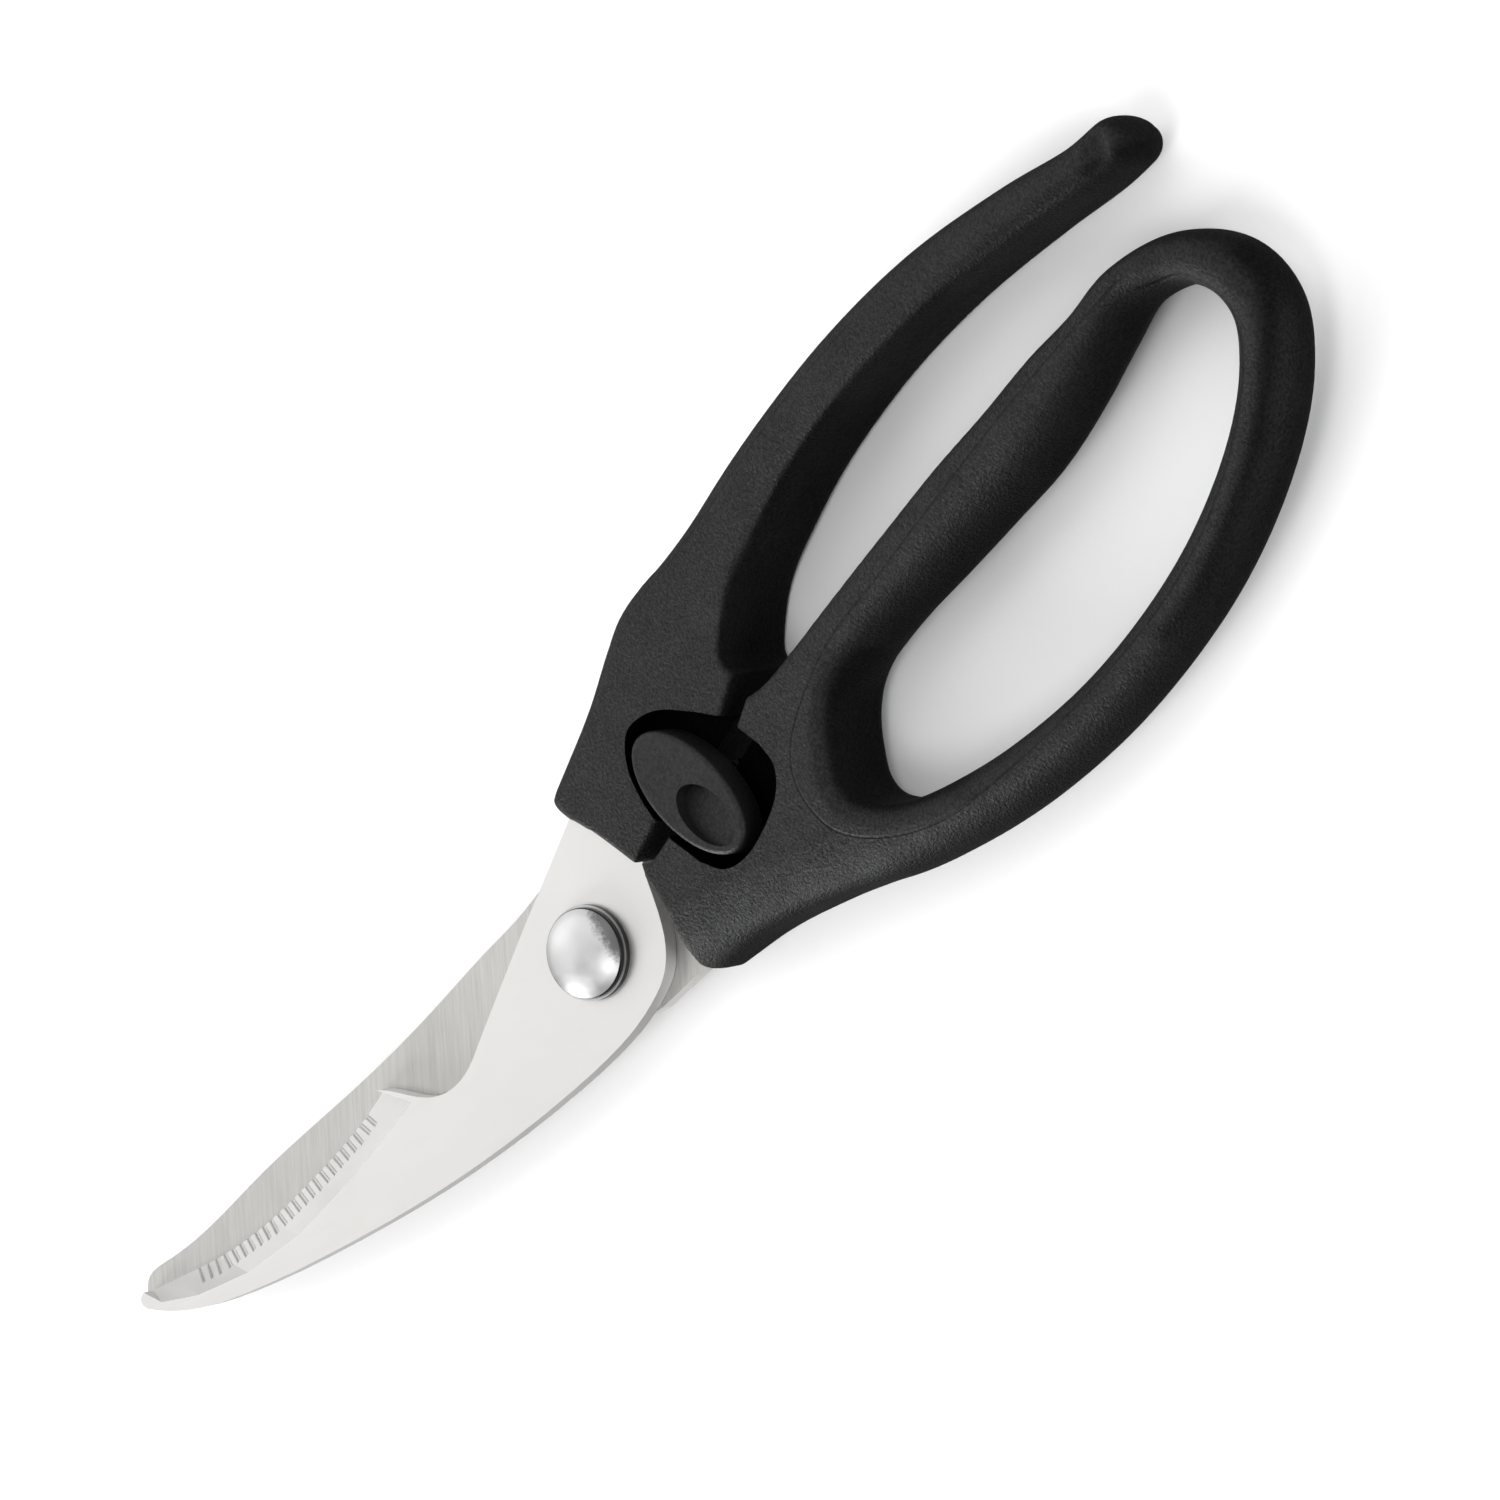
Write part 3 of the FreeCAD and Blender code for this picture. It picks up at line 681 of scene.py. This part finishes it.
# The tools carry the painted-shade plastic onto the faces they cut.
for tool in tools:
    dress(tool, recess_shade_look)
cut(loop_handle, tools[:2])
cut(open_handle, tools[1:])
drop(tools)
for piece in (loop_handle, open_handle):
    shade(piece)

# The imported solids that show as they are.
nodes = frame["nodes"]
for node, material in (("front_blade", front_steel_painted_light), ("rear_blade", rear_steel_painted_light),
                       ("pivot_bolt", pivot_look), ("front_washer", pivot_look),
                       ("rear_washer", pivot_look), ("pivot_nut", pivot_look),
                       ("catch_lever", catch_look), ("catch_pin", wire_look)):
    dress(nodes[node], material)
    shade(nodes[node], 30)

# Parting lines left by the mould; painted shade darkening the sheen along bands and walls.
loop_line = smooth_run([
    (-126.3, 26.7), (-105.0, 21.7), (-73.1, 15.9), (-60.4, 13.8), (-46.5, 15.8), (-42.0, 19.4),
    (-40.0, 26.5), (-42.2, 32.6), (-50.1, 40.6), (-64.2, 46.6), (-83.3, 52.0), (-98.7, 54.2),
    (-110.2, 53.4), (-120.9, 50.4), (-128.2, 46.6), (-132.0, 41.6), (-131.8, 34.6),
    (-126.3, 29.0)], 1.0)
open_line = smooth_run([(-46.8, -15.7), (-52.5, -14.4), (-59.3, -12.9), (-71.7, -11.2),
                        (-86.2, -8.9), (-100.0, -5.4)], 1.0)
GAP_SIDE = [(-84.0, -1.0), (-68.0, 1.5), (-56.0, 3.0), (-46.0, 5.0), (-17.0, 3.8)]
HOLE_END = [(-53.0, 38.0), (-47.5, 32.0), (-46.4, 26.5), (-50.0, 21.5), (-58.0, 18.5)]
# Painted shade on the loop handle: a band along the outer crest, a broad band on the finger
# hole's side, and dark walls at the hole's end and by the gap.
note_painted_shade(loop_handle, [
    ([(-138.3, 39.0), (-137.0, 44.0), (-133.6, 47.6), (-127.7, 50.9), (-121.0, 53.8),
      (-114.0, 55.5), (-105.0, 56.7), (-96.0, 57.0), (-90.0, 56.0)], 1.3, 0.85),
    ([(-128.0, 31.0), (-119.0, 29.3), (-109.5, 29.2), (-98.0, 28.2), (-87.7, 25.9),
      (-77.0, 22.8), (-66.8, 20.2)], 2.6, 0.65)],
    [(HOLE_END, 3.0, 7.0, 0.9), (GAP_SIDE, 4.0, 9.0, 0.8)])
# Painted shade on the open handle: a band along the limb and dark walls by the gap.
note_painted_shade(open_handle, [
    ([(-142.8, 18.9), (-131.7, 13.1), (-114.7, 5.3), (-97.8, 0.7), (-83.5, -1.9),
      (-69.9, -3.2), (-60.2, -3.2)], 0.9, 0.75)],
    [(GAP_SIDE, 4.0, 9.0, 0.92)])
note_distance(loop_handle, loop_line)
note_distance(open_handle, open_line)
for piece, body, node in ((loop_handle, "loop_half", "loop_handle"),
                          (open_handle, "open_half", "open_handle")):
    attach(piece, body)
    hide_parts(node)


# ---- opening spring ----------------------------------------------------------------------
def spring_mesh():
    """Coil with closed ends, as a tube round a helix."""
    around, per_turn = 12, 40
    length = SPRING_Y1 - SPRING_Y0 - SPRING_WIRE - 2 * SPRING_PLAY
    shut = SPRING_WIRE * SPRING_SHUT
    turns = SPRING_TURNS + 2 * SPRING_CLOSED
    steps = int(turns * per_turn)
    verts, faces = [], []
    for i in range(steps + 1):
        turn = turns * i / steps
        pitch_share = np.clip((turn - SPRING_CLOSED) / SPRING_TURNS, 0, 1)
        y = (min(turn, SPRING_CLOSED) * shut + max(turn - turns + SPRING_CLOSED, 0) * shut
             + pitch_share * (length - 2 * SPRING_CLOSED * shut))
        t = turn * 2 * math.pi
        c = np.array([math.cos(t), 0, math.sin(t)])
        centre = np.array([SPRING_X, SPRING_Y0 + SPRING_PLAY + SPRING_WIRE / 2 + y, SPRING_Z])
        centre = centre + c * SPRING_R
        for k in range(around):
            s = 2 * math.pi * k / around
            verts.append(centre + SPRING_WIRE / 2 * (c * math.cos(s)
                                                     + np.array([0, math.sin(s), 0])))
    for i in range(steps):
        for k in range(around):
            a, b = i * around + k, i * around + (k + 1) % around
            faces.append([a, a + around, b + around, b])
    faces.append(list(range(around)))
    faces.append([steps * around + k for k in range(around)][::-1])
    return mesh_piece("coil_spring", verts, faces)


coil = spring_mesh()
shade(coil, 60)
dress(coil, wire_look)
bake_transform(coil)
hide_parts("opening_spring")

# ---- floor, light and camera ---------------------------------------------------------------
CAMERA_AZ, CAMERA_EL, CAMERA_ROLL = 130.29, 55.64, 97.87     # degrees
CAMERA_AT = Vector((-0.01153, -0.00187, 0.0083))
CAMERA_FAR = 0.9167     # metres from CAMERA_AT
CAMERA_LENS = 160.2     # mm, as is the sensor's width
SENSOR_WIDTH = 36
LIGHT_FAR = 1.5         # metres from CAMERA_AT
FLOOR_HALF = 3.0        # half the paper's width in metres


def aimed(place, target, roll=0.0):
    """Matrix of something at place that looks at target along its -Z."""
    back = (place - target).normalized()
    side = Vector((0, 0, 1)).cross(back).normalized()
    up = back.cross(side)
    c, s = math.cos(roll), math.sin(roll)
    side, up = side * c - up * s, side * s + up * c
    rotation = Matrix((side, up, back)).transposed().to_4x4()
    return Matrix.Translation(place) @ rotation


def compass(az, el, distance, centre):
    """Place at a compass bearing, height angle and distance from a centre."""
    a, e = math.radians(az), math.radians(el)
    return centre + distance * Vector((math.cos(e) * math.cos(a), math.cos(e) * math.sin(a),
                                       math.sin(e)))


camera_data = bpy.data.cameras.new("camera")
camera_data.lens = CAMERA_LENS
camera_data.sensor_width = SENSOR_WIDTH
camera_data.clip_start = 0.05
camera_data.clip_end = 20
camera = bpy.data.objects.new("camera", camera_data)
bpy.context.scene.collection.objects.link(camera)
camera.matrix_world = aimed(compass(CAMERA_AZ, CAMERA_EL, CAMERA_FAR, CAMERA_AT), CAMERA_AT,
                            math.radians(CAMERA_ROLL))
bpy.context.scene.camera = camera


def softbox(name, az, el, power, size):
    """Round soft light at a compass bearing and height angle."""
    data = bpy.data.lights.new(name, "AREA")
    data.shape = "DISK"
    data.size = size
    data.energy = power
    light = bpy.data.objects.new(name, data)
    bpy.context.scene.collection.objects.link(light)
    light.matrix_world = aimed(compass(az, el, LIGHT_FAR, CAMERA_AT), CAMERA_AT)


# Name, compass bearing and height angle in degrees, power in watts, width in metres.
LAMPS = [("table_front", 355, 12, 37, 0.8), ("table_right", 120, 20, 10, 0.8),
         ("table_left", 278, 14, 8, 1.5), ("table_back", 310, 12, 1.8, 0.8),
         ("top_right", 165, 50, 9, 2.2), ("top_back", 225, 42, 8, 2.2),
         ("top_left", 268, 45, 6, 2.2), ("top_front", 310, 42, 1.0, 0.8),
         ("key", 48, 70, 5.0, 0.6)]
for lamp in LAMPS:
    softbox(*lamp)

world = bpy.data.worlds.new("studio")
world.use_nodes = True
sky = world.node_tree
above = sky.nodes.new("ShaderNodeSeparateXYZ")
shade_of = sky.nodes.new("ShaderNodeValToRGB")
height = sky.nodes.new("ShaderNodeMapRange")
height.inputs["From Min"].default_value = -1.0
sky.links.new(sky.nodes.new("ShaderNodeTexCoord").outputs["Generated"], above.inputs[0])
sky.links.new(above.outputs["Z"], height.inputs["Value"])
sky.links.new(height.outputs["Result"], shade_of.inputs["Fac"])
sky.links.new(shade_of.outputs["Color"], sky.nodes["Background"].inputs["Strength"])
# Strength against height, from straight down to straight up: the room's edge is dark.
SKY = [(-1.0, 0.14), (-0.55, 0.12), (-0.3, 0.03), (0.05, 0.03), (0.3, 0.23), (1.0, 0.30)]
while len(shade_of.color_ramp.elements) < len(SKY):
    shade_of.color_ramp.elements.new(0.5)
for stop, (z, strength) in zip(shade_of.color_ramp.elements, SKY):
    stop.position = (z + 1) / 2
    stop.color = (strength, strength, strength, 1)
sky.nodes["Background"].inputs["Color"].default_value = (1, 1, 1, 1)
bpy.context.scene.world = world

floor_mesh = bpy.data.meshes.new("floor")
floor_bm = bmesh.new()
bmesh.ops.create_grid(floor_bm, x_segments=2, y_segments=2, size=FLOOR_HALF)
floor_bm.to_mesh(floor_mesh)
floor_bm.free()
floor = bpy.data.objects.new("floor", floor_mesh)
bpy.context.scene.collection.objects.link(floor)
floor_look = Look("floor_paper")
floor_tone = floor_look.ramp(floor_look.noise(3, 2, 0.5), [(0.3, 0.90), (0.7, 0.92)])
dress(floor, floor_look.set(color=floor_tone, rough=0.9, specular=0.1))
# The paper shows but doesn't light the handles, as a dark table round a small sheet would.
floor.visible_diffuse = False
floor.visible_glossy = False
bpy.context.scene.view_settings.view_transform = "Standard"
